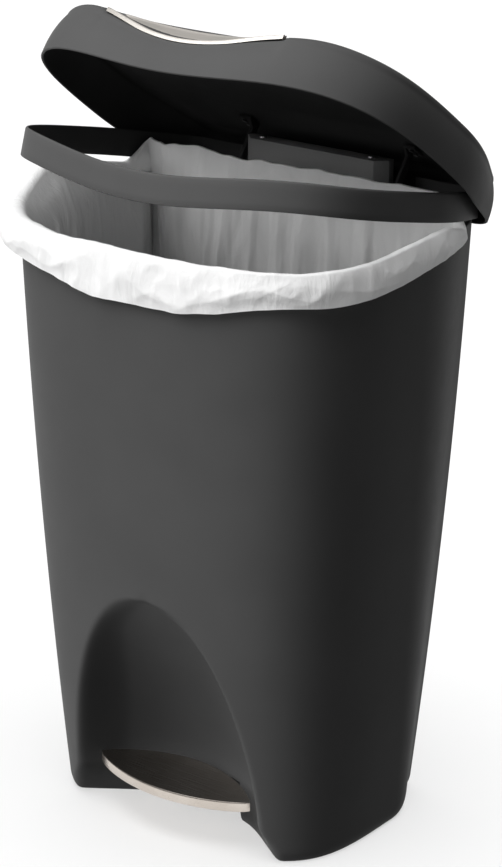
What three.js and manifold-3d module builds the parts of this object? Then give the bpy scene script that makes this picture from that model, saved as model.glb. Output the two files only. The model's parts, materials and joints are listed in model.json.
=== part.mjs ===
// Pedal trash can: a tapered bin with a hinged liner ring, a domed lid and a pedal
// that lifts the lid through a lever, a rod and a crank. Millimetres, +Z up, -Y front.
import * as THREE from "three";
import { mergeVertices } from "three/addons/utils/BufferGeometryUtils.js";
import Module from "manifold-3d";

const wasm = await Module();
wasm.setup();

// ---------- driving dimensions ----------
const RIM_Z = 608; // height of the bin body's rim
const WALL = 2.8; // moulded wall of the body
const FLOOR_TOP = 71; // inside floor of the bin
const FLOOR_UNDERSIDE = 68;
const SIDE_LEAN = rad(19.4); // how far each side wall turns in towards the back
const TAPER_BEND = 0.526; // 1 is a straight taper, less bows the wall out
const BACK_CORNER = 13; // length of straight wall that each back corner's round takes up
const TOP_PLAN = {
  halfWidth: 206.3, front: 157.2, back: 156.9, widestY: 22.9,
  cornerX: 0.83, frontPull: 0.95, sidePull: 0.65,
};
const BOTTOM_PLAN = {
  halfWidth: 171, front: 123, back: 125.5, widestY: 44.3,
  cornerX: 0.8, frontPull: 1.03, sidePull: 0.63,
};
const FRONT_STEPS = 10; // outline segments from the front middle to the widest point
const SIDE_STEPS = 5;
const CORNER_STEPS = 3;
const BACK_STEPS = 2;

const RECESS = {
  topZ: 258, halfWidth: 115, archPower: 2.15, flare: 18, flareZ: 40,
  backY: -48, straightZ: 60, topY: -140, backPower: 1.7, bowl: 44, bowlRise: 12, bowlX: 120.5, bowlPower: 2.25,
  wallSlope: 2, endSlope: 1, slopeZ: 60, edgeRound: 10, backRound: 14,
};
const PEDAL_SLOT = { halfWidth: 52, topZ: 46 };

const HINGE = { y: 145, z: 597 }; // one axis for ring, lid and crank
const RING_REST = rad(13.6); // how far the ring stands open in this pose
const LID_REST = rad(36.1);
const LIFT_REST = rad(22.5); // how far the crank has turned from closed in this pose
const WAVE_SPAN = 0.9; // share of the half width that the front dip covers

const RING = {
  offset: 4.1, wall: 2.8, height: 28, bottom: -3.6, dip: 15.6, rise: 5, backLean: 7, topInset: 1.2,
};
const LID = {
  offset: 11.6, wall: 2.5, bottom: -5, dip: 15.7, backRise: 9, edge: 46, edgeRise: 5, inset: 8.6,
  insetPower: 2.4, edgeRound: 9, frontRound: 3, topDip: 29.5, dipHalfWidth: 165, dipReach: 95, crown: 7,
};
const HANDLE = {
  halfWidth: 103, depth: 24, endDepth: 4, frontInset: 2, frontBow: 9, seat: 1.5, thickness: 2.4,
};
const LINER = { film: 0.9, inset: 6, proud: 9, hemDrop: 52, crest: 6, backCrest: 24, backY: 98, floor: 78 };

const LEVER = { pivotY: 17, pivotZ: 34, rearArm: 100, pinRadius: 3, width: 34 };
const TREAD = { halfWidth: 94.5, frontY: -129, tipY: -94, backY: -56, topZ: 55.2, thickness: 10.5, wall: 2 };
const ROD = { radius: 3, eyeWidth: 6 };
const ROD_Y = LEVER.pivotY + LEVER.rearArm;
const CRANK_REACH = HINGE.y - ROD_Y;
const CRANK_REST = rad(-10); // the crank stands this far below level in this pose
const SHAFT = { radius: 4, halfLength: 112 };
const HOUSING = {
  halfFront: 74.7, halfBack: 86, frontY: 123.4, chamfer: 10.6, lowZ: 560, topZ: 654, wall: 2.5,
  noseHalf: 24, noseY: 103, noseTopZ: 628,
};
const LID_ARM = { x: 92.5, width: 4 };
const RING_LUG = { x: 101, width: 5 };
const GAP = 0.3; // between touching pieces

// ---------- small helpers ----------
function rad(degrees) {
  return (degrees * Math.PI) / 180;
}

function lerp(a, b, t) {
  return a + (b - a) * t;
}

function smoothstep(low, high, value) {
  const t = Math.min(1, Math.max(0, (value - low) / (high - low)));
  return t * t * (3 - 2 * t);
}

function smoothMax(a, b, radius) {
  const h = Math.max(0, radius - Math.abs(a - b)) / radius;
  return Math.max(a, b) + (h * h * radius) / 4;
}

function bezier(p0, p1, p2, p3, steps) {
  const curve = new THREE.CubicBezierCurve(p0, p1, p2, p3);
  return curve.getPoints(steps);
}

// A geometry's shared vertices are merged, so that manifold-3d can take it as a solid.
function solid(geometry) {
  const bare = geometry.clone();
  bare.deleteAttribute("normal");
  bare.deleteAttribute("uv");
  const merged = mergeVertices(bare, 1e-4);
  return new wasm.Manifold(
    new wasm.Mesh({
      numProp: 3,
      vertProperties: new Float32Array(merged.attributes.position.array),
      triVerts: new Uint32Array(merged.index.array),
    }),
  );
}

function geometryOf(body) {
  const mesh = body.getMesh();
  const geometry = new THREE.BufferGeometry();
  geometry.setAttribute("position", new THREE.BufferAttribute(new Float32Array(mesh.vertProperties), 3));
  geometry.setIndex(new THREE.BufferAttribute(new Uint32Array(mesh.triVerts), 1));
  geometry.computeVertexNormals();
  return geometry;
}

function box(x0, x1, y0, y1, z0, z1) {
  const geometry = new THREE.BoxGeometry(x1 - x0, y1 - y0, z1 - z0);
  geometry.translate((x0 + x1) / 2, (y0 + y1) / 2, (z0 + z1) / 2);
  return solid(geometry);
}

// A cylinder along one axis, from one end to the other.
function rod(axis, radius, from, to, a, b, sides = 20) {
  const geometry = new THREE.CylinderGeometry(radius, radius, to - from, sides);
  const middle = (from + to) / 2;
  if (axis === "x") {
    geometry.rotateZ(Math.PI / 2);
    geometry.translate(middle, a, b);
  } else if (axis === "z") {
    geometry.rotateX(Math.PI / 2);
    geometry.translate(a, b, middle);
  }
  return solid(geometry);
}

// A plate cut from a side-view outline [[y, z], ...], between two x positions.
function sidePlate(points, x0, x1) {
  const shape = new THREE.Shape(points.map(([y, z]) => new THREE.Vector2(y, z)));
  const geometry = new THREE.ExtrudeGeometry(shape, { depth: x1 - x0, bevelEnabled: false });
  geometry.applyMatrix4(new THREE.Matrix4().set(0, 0, 1, x0, 1, 0, 0, 0, 0, 1, 0, 0, 0, 0, 0, 1));
  return solid(geometry);
}

// A plate cut from a plan outline [[x, y], ...], between two heights.
function planPlate(points, z0, z1) {
  const shape = new THREE.Shape(points.map(([x, y]) => new THREE.Vector2(x, y)));
  const geometry = new THREE.ExtrudeGeometry(shape, { depth: z1 - z0, bevelEnabled: false });
  geometry.translate(0, 0, z0);
  return solid(geometry);
}

// ---------- surfaces through rings of points ----------
class Skin {
  constructor() {
    this.positions = [];
    this.index = [];
  }

  ring(points) {
    const first = this.positions.length / 3;
    points.forEach((p) => this.positions.push(p.x, p.y, p.z));
    return { first, count: points.length, points };
  }

  band(low, high) {
    for (let i = 0; i < low.count; i++) {
      const j = (i + 1) % low.count;
      this.index.push(low.first + i, low.first + j, high.first + j);
      this.index.push(low.first + i, high.first + j, high.first + i);
    }
  }

  cap(ring, up) {
    const contour = ring.points.map((p) => new THREE.Vector2(p.x, p.y));
    THREE.ShapeUtils.triangulateShape(contour, []).forEach(([a, b, c]) => {
      const turn = THREE.ShapeUtils.area([contour[a], contour[b], contour[c]]) > 0;
      const face = turn === up ? [a, b, c] : [a, c, b];
      this.index.push(...face.map((i) => ring.first + i));
    });
  }

  geometry() {
    const geometry = new THREE.BufferGeometry();
    geometry.setAttribute("position", new THREE.Float32BufferAttribute(this.positions, 3));
    geometry.setIndex(this.index);
    return geometry;
  }
}

// A stack of rings, lowest first, closed by a cap at each end.
function loft(rings) {
  const skin = new Skin();
  const placed = rings.map((points) => skin.ring(points));
  placed.slice(1).forEach((ring, i) => skin.band(placed[i], ring));
  skin.cap(placed[0], false);
  skin.cap(placed.at(-1), true);
  return solid(skin.geometry());
}

// A bowl-like shell: outer rings and inner rings run from the open edge to the closed end.
function shell(outer, inner, closedUp) {
  const skin = new Skin();
  const outside = outer.map((points) => skin.ring(points));
  const inside = inner.map((points) => skin.ring(points));
  const join = (low, high) => (closedUp ? skin.band(low, high) : skin.band(high, low));
  outside.slice(1).forEach((ring, i) => join(outside[i], ring));
  inside.slice(1).forEach((ring, i) => join(ring, inside[i]));
  join(inside[0], outside[0]);
  skin.cap(outside.at(-1), closedUp);
  skin.cap(inside.at(-1), !closedUp);
  return solid(skin.geometry());
}

// An endless band: each section ring is one loop at one corner of the band's section.
function hoop(loops) {
  const skin = new Skin();
  const placed = loops.map((points) => skin.ring(points));
  placed.forEach((ring, i) => skin.band(ring, placed[(i + 1) % placed.length]));
  return solid(skin.geometry());
}

// ---------- the bin's plan outline ----------
// The right half runs from the front middle round to the back middle.
function halfOutline(plan) {
  const corner = new THREE.Vector2(plan.halfWidth * plan.cornerX, plan.back);
  const sideEnd = new THREE.Vector2(-Math.sin(SIDE_LEAN), Math.cos(SIDE_LEAN));
  const cornerStart = corner.clone().addScaledVector(sideEnd, -BACK_CORNER);
  const cornerEnd = corner.clone().add(new THREE.Vector2(-BACK_CORNER, 0));
  const depth = plan.widestY + plan.front;
  const widest = new THREE.Vector2(plan.halfWidth, plan.widestY);
  const front = bezier(
    new THREE.Vector2(0, -plan.front),
    new THREE.Vector2(plan.frontPull * plan.halfWidth, -plan.front),
    new THREE.Vector2(plan.halfWidth, plan.widestY - plan.sidePull * depth),
    widest,
    FRONT_STEPS,
  );
  const length = plan.back - plan.widestY;
  const side = bezier(
    widest,
    new THREE.Vector2(plan.halfWidth, plan.widestY + 0.35 * length),
    cornerStart.clone().addScaledVector(sideEnd, -0.3 * length),
    cornerStart,
    SIDE_STEPS,
  );
  const round = new THREE.QuadraticBezierCurve(cornerStart, corner, cornerEnd).getPoints(CORNER_STEPS);
  const back = [];
  for (let i = 1; i <= BACK_STEPS; i++)
    back.push(new THREE.Vector2(lerp(cornerEnd.x, 0, i / BACK_STEPS), plan.back));
  return [...front, ...side.slice(1), ...round.slice(1), ...back];
}

function fullOutline(plan) {
  const right = halfOutline(plan);
  const left = right.slice(1, -1).reverse().map((p) => new THREE.Vector2(-p.x, p.y));
  return [...right, ...left];
}

function planAt(z) {
  const down = 1 - Math.min(z, RIM_Z) / RIM_Z;
  const share = down * TAPER_BEND + (1 - TAPER_BEND) * down * down;
  const plan = {};
  Object.keys(TOP_PLAN).forEach((key) => {
    plan[key] = lerp(TOP_PLAN[key], BOTTOM_PLAN[key], share);
  });
  return plan;
}

// The foot recess is a bowl in the front wall whose back leans forward as it rises. A steep wall, gentler
// near the floor and at the top, runs in from the edge of its arch.
function recessY(x, frontY, z) {
  const height = Math.max(0, z) / RECESS.topZ;
  const arch = RECESS.halfWidth * Math.sqrt(Math.max(0, 1 - height ** RECESS.archPower));
  const flare = RECESS.flare * (1 - smoothstep(0, RECESS.flareZ, z));
  const steep = smoothstep(0, RECESS.slopeZ, z) * (1 - smoothstep(RECESS.topZ - RECESS.slopeZ, RECESS.topZ, z));
  const slope = lerp(RECESS.endSlope, RECESS.wallSlope, steep);
  const wall = frontY + slope * (arch + flare - Math.abs(x));
  const rise = Math.max(0, z - RECESS.straightZ) / (RECESS.topZ - RECESS.straightZ);
  const middle = RECESS.backY + (RECESS.topY - RECESS.backY) * rise ** RECESS.backPower;
  const bowl = RECESS.bowl + RECESS.bowlRise * smoothstep(0, RECESS.straightZ, z);
  const back = middle - bowl * (Math.abs(x) / RECESS.bowlX) ** RECESS.bowlPower;
  return -smoothMax(-back, -wall, RECESS.backRound);
}

// Moves each point of an outline out (or in, below zero) along its own normal.
function offsetOutline(points, offset) {
  return points.map((p, i) => {
    const before = points[(i + points.length - 1) % points.length];
    const after = points[(i + 1) % points.length];
    const along = new THREE.Vector2().subVectors(after, before).normalize();
    return new THREE.Vector2(p.x + along.y * offset, p.y - along.x * offset);
  });
}

function bodyOutline(z, offset) {
  const points = fullOutline(planAt(z)).map((p) => {
    if (p.y > 0) return p;
    return new THREE.Vector2(p.x, smoothMax(p.y, recessY(p.x, p.y, z), RECESS.edgeRound));
  });
  return offsetOutline(points, offset);
}

function level(z, offset) {
  return bodyOutline(z, offset).map((p) => new THREE.Vector3(p.x, p.y, z));
}

// ---------- body ----------
const FOOT_ROUND = [[0, 6], [3, 2.6], [7, 0.8], [13, 0]]; // height and how far the foot draws in
const WALL_LEVELS = [22, 40, 62, 92, 124, 154, 182, 208, 230, 246, 260, 280, 380, 490, RIM_Z];

function cavity(offset, low, high) {
  const heights = WALL_LEVELS.filter((z) => z > low + 1 && z < high - 1);
  return loft([low, ...heights, high].map((z) => level(z, -offset)));
}

function bodyShell() {
  const feet = FOOT_ROUND.map(([z, drawn]) => level(z, -drawn));
  const outer = loft([...feet, ...WALL_LEVELS.map((z) => level(z, 0))]);
  const slot = box(-PEDAL_SLOT.halfWidth, PEDAL_SLOT.halfWidth, -90, -20, -1, PEDAL_SLOT.topZ);
  const rodHole = rod("z", ROD.radius + 2, FLOOR_UNDERSIDE - 1, FLOOR_TOP + 1, 0, ROD_Y);
  const hollow = loft([...WALL_LEVELS.filter((z) => z > FLOOR_TOP + 1 && z < RIM_Z), RIM_Z + 4]
    .reduce((list, z) => [...list, level(z, -WALL)], [level(FLOOR_TOP, -WALL)]));
  const under = loft([-1, 13, 30, 55, FLOOR_UNDERSIDE].map((z) => level(z, -WALL - (z < 13 ? 5 : 0))));
  return outer.subtract(hollow).subtract(under).subtract(slot).subtract(rodHole);
}

// ---------- liner ring ----------
// Height lost at the front middle, easing out to nothing near the corners.
function frontWave(x, y, halfWidth) {
  const t = Math.abs(x) / halfWidth;
  if (y > 0 || t > WAVE_SPAN) return 0;
  return 0.5 * (1 + Math.cos((Math.PI * t) / WAVE_SPAN));
}

function ringBottom(p) {
  const back = (p.y + TOP_PLAN.front) / (TOP_PLAN.front + TOP_PLAN.back);
  return RIM_Z + RING.bottom - RING.dip * frontWave(p.x, p.y, TOP_PLAN.halfWidth) + RING.rise * back;
}

// A loop of the ring: offset from the bin's outline, height up the band, leaning in at the back.
function ringLoop(offset, up) {
  const outline = bodyOutline(RIM_Z, 0);
  return offsetOutline(outline, offset).map((p, i) => {
    const lean = RING.backLean * (up / RING.height) * smoothstep(110, 150, outline[i].y);
    return new THREE.Vector3(p.x, p.y - lean, ringBottom(outline[i]) + up);
  });
}

// The lip inside the ring's front and sides, which sits on the bin's rim.
function ringLip() {
  const out = RING.offset - RING.wall + 1;
  const inward = RING.offset - RING.wall - 5;
  const loops = [ringLoop(out, 0), ringLoop(out, 0), ringLoop(inward, 0), ringLoop(inward, 0)];
  const heights = [RIM_Z + 1.4, RIM_Z + 3.6, RIM_Z + 3.6, RIM_Z + 1.4];
  loops.forEach((loop, i) => loop.forEach((p) => (p.z = heights[i])));
  return hoop(loops).trimByPlane([0, -1, 0], -95);
}

function ringLug(side) {
  const outline = [
    [-8, -2], [-5, -7], [0, -8.5], [5, -6.5], [7, -2], [3.4, 6], [2.8, 20], [12.8, 20],
    [10.6, 27], [-3, 27], [-7, 20],
  ].map(([y, z]) => [HINGE.y + y, HINGE.z + z]);
  const x = side * (RING_LUG.x + RING_LUG.width / 2);
  return sidePlate(outline, x - RING_LUG.width / 2, x + RING_LUG.width / 2);
}

function linerRing() {
  const outer = RING.offset;
  const inner = RING.offset - RING.wall;
  let ring = hoop([
    ringLoop(outer - 0.6, 0), ringLoop(outer, 1), ringLoop(outer - RING.topInset, RING.height - 1.2),
    ringLoop(outer - RING.topInset - 1, RING.height), ringLoop(inner - RING.topInset + 0.6, RING.height),
    ringLoop(inner - RING.topInset, RING.height - 1), ringLoop(inner, 0),
  ]);
  ring = ring.add(ringLip());
  ring = ring.subtract(box(-100.4, 100.4, 100, 146, RIM_Z - 20, RIM_Z + 60));
  ring = ring.subtract(box(-100.4, 100.4, 100, 190, RIM_Z + 9, RIM_Z + 60));
  const bore = rod("x", SHAFT.radius + 0.12, -130, 130, HINGE.y, HINGE.z);
  return ring.add(ringLug(1)).add(ringLug(-1)).subtract(bore);
}

// ---------- lid ----------
function lidBottom(p) {
  const wave = LID.dip * frontWave(p.x, p.y, TOP_PLAN.halfWidth);
  return RIM_Z + LID.bottom - wave + LID.backRise * smoothstep(70, TOP_PLAN.back, p.y);
}

// How strongly the grip's dip is felt at a point of the plan: 1 at the front middle, 0 away from it.
function gripDip(x, y) {
  const across = Math.min(1, Math.abs(x) / LID.dipHalfWidth);
  const fade = Math.max(0, 1 - Math.max(0, y + TOP_PLAN.front) / LID.dipReach) ** 2;
  return 0.5 * (1 + Math.cos(Math.PI * across)) * fade;
}

// Height of the lid's top surface over a point of the plan.
function lidTop(x, y) {
  const back = (y + TOP_PLAN.front) / (TOP_PLAN.front + TOP_PLAN.back);
  const round = Math.max(0, 1 - (x / TOP_PLAN.halfWidth) ** 2) * Math.max(0, 1 - (y / TOP_PLAN.back) ** 2);
  return RIM_Z + LID.edge + LID.edgeRise * back + LID.crown * round - LID.topDip * gripDip(x, y);
}

// A loop up the lid's side: share 0 is the lower edge and 1 the start of the rounded edge.
function lidSide(share, wall) {
  const outline = bodyOutline(RIM_Z, 0);
  const offset = LID.offset - LID.inset * share ** LID.insetPower - wall;
  return offsetOutline(outline, offset).map((p, i) => {
    const { x, y } = outline[i];
    const round = lerp(LID.edgeRound, LID.frontRound, gripDip(x, y));
    const top = lidTop(x, y) - Math.max(round, wall + 0.2);
    return new THREE.Vector3(p.x, p.y, lerp(lidBottom(outline[i]), top, share));
  });
}

// A loop on the rounded edge between the lid's side and its top.
function lidEdge(angle, wall) {
  const outline = bodyOutline(RIM_Z, 0);
  const base = offsetOutline(outline, LID.offset - LID.inset);
  const inner = offsetOutline(outline, LID.offset - LID.inset - 10);
  return base.map((p, i) => {
    const { x, y } = outline[i];
    const round = lerp(LID.edgeRound, LID.frontRound, gripDip(x, y));
    const small = Math.max(0.2, round - wall);
    const drawn = (round - small * Math.cos(angle)) / 10;
    const z = lidTop(x, y) - Math.max(round, wall + 0.2) + small * Math.sin(angle);
    return new THREE.Vector3(lerp(p.x, inner[i].x, drawn), lerp(p.y, inner[i].y, drawn), z);
  });
}

// A loop on the lid's top, drawn in towards the middle.
function lidTopLoop(share, wall) {
  const edge = lidEdge(Math.PI / 2, wall);
  const middleY = 10;
  return edge.map((p) => {
    const x = p.x * share;
    const y = middleY + (p.y - middleY) * share;
    return new THREE.Vector3(x, y, lidTop(x, y) - wall);
  });
}

function lidLoops(wall) {
  return [
    ...[0, 0.45, 0.75, 1].map((share) => lidSide(share, wall)),
    ...[rad(45), rad(90)].map((angle) => lidEdge(angle, wall)),
    ...[0.91, 0.81, 0.66, 0.45, 0.2].map((share) => lidTopLoop(share, wall)),
  ];
}

function lidShell() {
  return shell(lidLoops(0), lidLoops(LID.wall), true);
}

// The grip's plan: its front edge follows the lid's upper edge, its back edge is a deeper arc.
function handlePlan(grow) {
  const steps = 24;
  const front = [];
  const back = [];
  for (let i = 0; i <= steps; i++) {
    const t = (2 * i) / steps - 1;
    const x = (HANDLE.halfWidth + grow) * t;
    const edge = HANDLE.frontInset - TOP_PLAN.front + HANDLE.frontBow * Math.abs(t) ** 2.2;
    front.push([x, edge - grow]);
    back.push([x, edge + HANDLE.endDepth + grow + HANDLE.depth * (1 - t * t)]);
  }
  return [...front, ...back.reverse()];
}

function handleInsert() {
  const loop = (grow, up) => handlePlan(grow).map(([x, y]) => new THREE.Vector3(x, y, lidTop(x, y) + up));
  return loft([loop(0, HANDLE.seat), loop(0, HANDLE.seat + HANDLE.thickness)]);
}

// ---------- pedal ----------
function treadOutline(grow) {
  const points = [];
  const steps = 22;
  for (let i = 0; i <= steps; i++) {
    const t = 1 - (2 * i) / steps;
    points.push([(TREAD.halfWidth + grow) * t, lerp(TREAD.tipY, TREAD.backY + grow, 1 - t * t)]);
  }
  for (let i = 0; i <= steps; i++) {
    const t = (2 * i) / steps - 1;
    points.push([(TREAD.halfWidth + grow) * t, lerp(TREAD.tipY - 8, TREAD.frontY - grow, 1 - t * t)]);
  }
  return points;
}

function pedalTread() {
  const low = TREAD.topZ - TREAD.thickness;
  const ring = (grow, z) => treadOutline(grow).map(([x, y]) => new THREE.Vector3(x, y, z));
  const plate = loft([ring(-0.8, low), ring(0, low + 0.8), ring(0, TREAD.topZ - 1.5), ring(-1.5, TREAD.topZ)]);
  const hollow = loft([ring(-TREAD.wall, low - 1), ring(-TREAD.wall, TREAD.topZ - TREAD.wall)]);
  return plate.subtract(hollow);
}

const TREAD_INSIDE = TREAD.topZ - TREAD.wall;

function pedalArm() {
  const y = LEVER.pivotY;
  const z = LEVER.pivotZ;
  const outline = [
    [-104, TREAD_INSIDE - 5], [-74, TREAD_INSIDE - 5], [-68, 26], [-56, 20], [-40, 20], [y - 12, z - 7],
    [y - 7, z - 10.5], [y, z - 12], [y + 7, z - 10.5], [y + 12, z - 6], [ROD_Y + 6.4, z - 6],
    [ROD_Y + 6.4, z + 6], [y + 12, z + 6], [y + 7, z + 10.5], [y, z + 12], [y - 7, z + 10.5],
    [y - 12, z + 7], [-38, 32], [-54, 32], [-62, 40], [-62, TREAD_INSIDE - GAP], [-104, TREAD_INSIDE - GAP],
  ];
  const half = LEVER.width / 2;
  let arm = sidePlate(outline, -half, half);
  arm = arm.subtract(rod("x", LEVER.pinRadius + 0.05, -half - 1, half + 1, y, z, 24));
  const fork = ROD.eyeWidth / 2 + 1;
  arm = arm.subtract(box(-fork, fork, ROD_Y - 14, ROD_Y + 10, z - 8, z + 8));
  const slotHalf = ROD.radius - 0.5 + 0.9;
  arm = arm.subtract(box(-half - 1, half + 1, ROD_Y - 5, ROD_Y + 10, z - slotHalf, z + slotHalf));
  const sides = [-1, 1].map((s) => box(s < 0 ? -half - 1 : 9, s < 0 ? -9 : half + 1, y + 16, ROD_Y + 10, z - 8, z + 8));
  return arm.subtract(sides[0]).subtract(sides[1]);
}

function treadScrew(x) {
  const head = rod("z", 4, TREAD_INSIDE - 7.6, TREAD_INSIDE - 5 - GAP, x, -80, 12);
  return head;
}

function pivotBracket(side) {
  const y = LEVER.pivotY;
  const z = LEVER.pivotZ;
  const outline = [
    [y - 8, z], [y - 6, z - 6], [y, z - 8.5], [y + 6, z - 6], [y + 8, z], [y + 20, FLOOR_UNDERSIDE - GAP],
    [y - 20, FLOOR_UNDERSIDE - GAP],
  ];
  const x0 = LEVER.width / 2 + 1;
  const plate = side > 0 ? sidePlate(outline, x0, x0 + 4) : sidePlate(outline, -x0 - 4, -x0);
  const foot = side > 0
    ? box(x0, x0 + 16, y - 20, y + 20, FLOOR_UNDERSIDE - 4, FLOOR_UNDERSIDE - GAP)
    : box(-x0 - 16, -x0, y - 20, y + 20, FLOOR_UNDERSIDE - 4, FLOOR_UNDERSIDE - GAP);
  return plate.add(foot).subtract(rod("x", LEVER.pinRadius + 0.05, -60, 60, y, z, 24));
}

function pivotPin() {
  return rod("x", LEVER.pinRadius, -26, 26, LEVER.pivotY, LEVER.pivotZ, 24);
}

function pivotClip(side) {
  const x0 = LEVER.width / 2 + 5 + GAP;
  const disc = side > 0
    ? rod("x", 6, x0, x0 + 1.2, LEVER.pivotY, LEVER.pivotZ, 16)
    : rod("x", 6, -x0 - 1.2, -x0, LEVER.pivotY, LEVER.pivotZ, 16);
  return disc.subtract(rod("x", LEVER.pinRadius + 0.05, -60, 60, LEVER.pivotY, LEVER.pivotZ, 24));
}

// ---------- rod and crank ----------
const CRANK_PIN_Z = HINGE.z - CRANK_REACH * Math.tan(-CRANK_REST);

function liftRod() {
  const low = LEVER.pivotZ;
  const high = CRANK_PIN_Z;
  const eye = (z) => rod("x", 6, -ROD.eyeWidth / 2, ROD.eyeWidth / 2, ROD_Y, z, 16);
  const pin = ROD.radius - 0.5 + 0.05;
  let body = rod("z", ROD.radius, low, high, 0, ROD_Y, 12).add(eye(low)).add(eye(high));
  [low, high].forEach((z) => {
    body = body.subtract(rod("x", pin, -10, 10, ROD_Y, z, 16));
  });
  return body;
}

function rodPin(z) {
  return rod("x", ROD.radius - 0.5, -8.5, 8.5, ROD_Y, z, 16);
}

function rodGuide(z) {
  const back = planAt(z).back - WALL - GAP;
  const block = box(-9, 9, ROD_Y - 6, back, z, z + 12);
  return block.subtract(rod("z", ROD.radius + 0.4, z - 1, z + 13, 0, ROD_Y, 16));
}

function rodCover() {
  const channel = box(-19, 19, ROD_Y - 10, 165, FLOOR_TOP + GAP, HOUSING.lowZ - 2);
  const groove = box(-16.5, 16.5, ROD_Y - 7.5, 170, FLOOR_TOP - 1, HOUSING.lowZ);
  return channel.subtract(groove).intersect(cavity(WALL + GAP, FLOOR_TOP + 0.1, RIM_Z));
}

function turned(points, angle) {
  return points.map(([y, z]) => [
    HINGE.y + y * Math.cos(angle) + z * Math.sin(angle),
    HINGE.z + z * Math.cos(angle) - y * Math.sin(angle),
  ]);
}

function liftCrank() {
  const reach = CRANK_REACH;
  const half = ROD.eyeWidth / 2 + 1;
  const outline = turned([
    [7, 0], [5, 5], [0, 7.2], [-6, 4.2], [-13, 3.6], [-20, 6.2], [-reach - 10.6, 5.6], [-reach - 10.6, -5.6],
    [-18, -6.4], [-8, -7], [0, -7.6], [5, -5],
  ], CRANK_REST);
  const slotHalf = ROD.radius - 0.5 + 1.2;
  const slot = turned([
    [-reach + 4.5, slotHalf], [-reach - 8.6, slotHalf], [-reach - 8.6, -slotHalf], [-reach + 4.5, -slotHalf],
  ], CRANK_REST);
  let crank = sidePlate(outline, -half - 4, -half).add(sidePlate(outline, half, half + 4));
  crank = crank.add(rod("x", 7.4, -half - 4, half + 4, HINGE.y, HINGE.z, 20));
  crank = crank.subtract(sidePlate(slot, -20, 20));
  const clear = turned([[-9.5, 9], [-reach - 12, 9], [-reach - 12, -9], [-9.5, -9]], CRANK_REST);
  crank = crank.subtract(sidePlate(clear, -half, half));
  return crank.subtract(rod("x", SHAFT.radius + GAP, -20, 20, HINGE.y, HINGE.z, 20));
}

// Keyed to the shaft; it pushes up the flange of the lid arm beside it.
function liftFinger(side) {
  const outline = turned([
    [6, -3], [3, 6.5], [-5, 6], [-17, 9.5], [-20, 8], [-20, 4], [-6, -5.5], [0, -7],
  ], LIFT_REST);
  const x0 = side > 0 ? HOUSING.halfBack + 1 : -HOUSING.halfBack - 5;
  return sidePlate(outline, x0, x0 + 4).subtract(rod("x", SHAFT.radius + GAP, -100, 100, HINGE.y, HINGE.z, 20));
}

function shaftBearing(side) {
  const x0 = side > 0 ? HOUSING.halfBack - 12 : -HOUSING.halfBack + 4;
  const back = planAt(HINGE.z).back - WALL - 1.2;
  const block = box(x0, x0 + 8, HINGE.y - 8, back, HINGE.z - 14, HINGE.z + 7.5);
  return block.subtract(rod("x", SHAFT.radius + 0.12, -120, 120, HINGE.y, HINGE.z, 20));
}

function housingPlan(inset, backY) {
  const front = HOUSING.frontY + inset;
  const halfBack = HOUSING.halfBack - inset;
  const halfFront = HOUSING.halfFront - inset * 0.42;
  const shoulder = HOUSING.frontY + HOUSING.chamfer + inset * 0.42;
  return [
    [-halfFront, front], [halfFront, front], [halfBack, shoulder], [halfBack, backY],
    [-halfBack, backY], [-halfBack, shoulder],
  ];
}

// The cover over the shaft and crank: a low part against the bin's wall, a higher part in front
// of the hinge shaft, and a nose that makes room for the end of the crank.
function hingeHousing() {
  const { lowZ, topZ, wall, noseHalf, noseY, noseTopZ } = HOUSING;
  const step = RIM_Z + 0.6;
  const nose = (inset, low, high) => box(-noseHalf + inset, noseHalf - inset, noseY + inset, 135, low, high);
  const outer = planPlate(housingPlan(0, 151.6), lowZ, step)
    .add(planPlate(housingPlan(0, 142), step - 1, topZ))
    .add(nose(0, lowZ, noseTopZ));
  const hollow = planPlate(housingPlan(wall, 170), lowZ - 1, step - 2.2)
    .add(planPlate(housingPlan(wall, 139.5), step - 3, topZ - wall))
    .add(nose(wall, lowZ - 1, noseTopZ - wall));
  return outer.subtract(hollow).subtract(rod("x", SHAFT.radius + 1, -100, 100, HINGE.y, HINGE.z));
}

function coverScrew(z) {
  const geometry = new THREE.CylinderGeometry(4, 4, 2, 12);
  geometry.translate(0, ROD_Y - 10 - GAP - 1, z);
  return solid(geometry);
}

function bracketScrew(side, back) {
  const x = side * (LEVER.width / 2 + 11);
  const y = LEVER.pivotY + 13 * back;
  return rod("z", 3, FLOOR_UNDERSIDE - 6.4, FLOOR_UNDERSIDE - 4 - GAP, x, y, 12);
}

function housingScrew(side) {
  return rod("z", 3.2, HOUSING.topZ + GAP, HOUSING.topZ + 2, side * 66, 132, 12);
}

// ---------- lid arms ----------
const LID_PAD_Z = lidTop(LID_ARM.x + 7, HINGE.y - 31) - LID.wall - 1.4;

function lidArm(side) {
  const outline = [
    [6, -4], [7, 2], [3, 6.5], [-20, 8.6], [-21.5, 12], [-21.5, LID_PAD_Z - HINGE.z],
    [-40, LID_PAD_Z - HINGE.z], [-40, LID_PAD_Z - HINGE.z - 3], [-30, LID_PAD_Z - HINGE.z - 8],
    [-30.5, 6], [-27, 0.5], [-4, -6.5], [2, -7],
  ].map(([y, z]) => [HINGE.y + y, HINGE.z + z]);
  const x0 = side > 0 ? LID_ARM.x : -LID_ARM.x - LID_ARM.width;
  const padX = side > 0 ? [LID_ARM.x, LID_ARM.x + 14] : [-LID_ARM.x - 14, -LID_ARM.x];
  return sidePlate(outline, x0, x0 + LID_ARM.width)
    .add(box(padX[0], padX[1], HINGE.y - 40, HINGE.y - 21.5, LID_PAD_Z - 3, LID_PAD_Z))
    .subtract(rod("x", SHAFT.radius + 0.12, -120, 120, HINGE.y, HINGE.z, 20));
}

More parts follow.
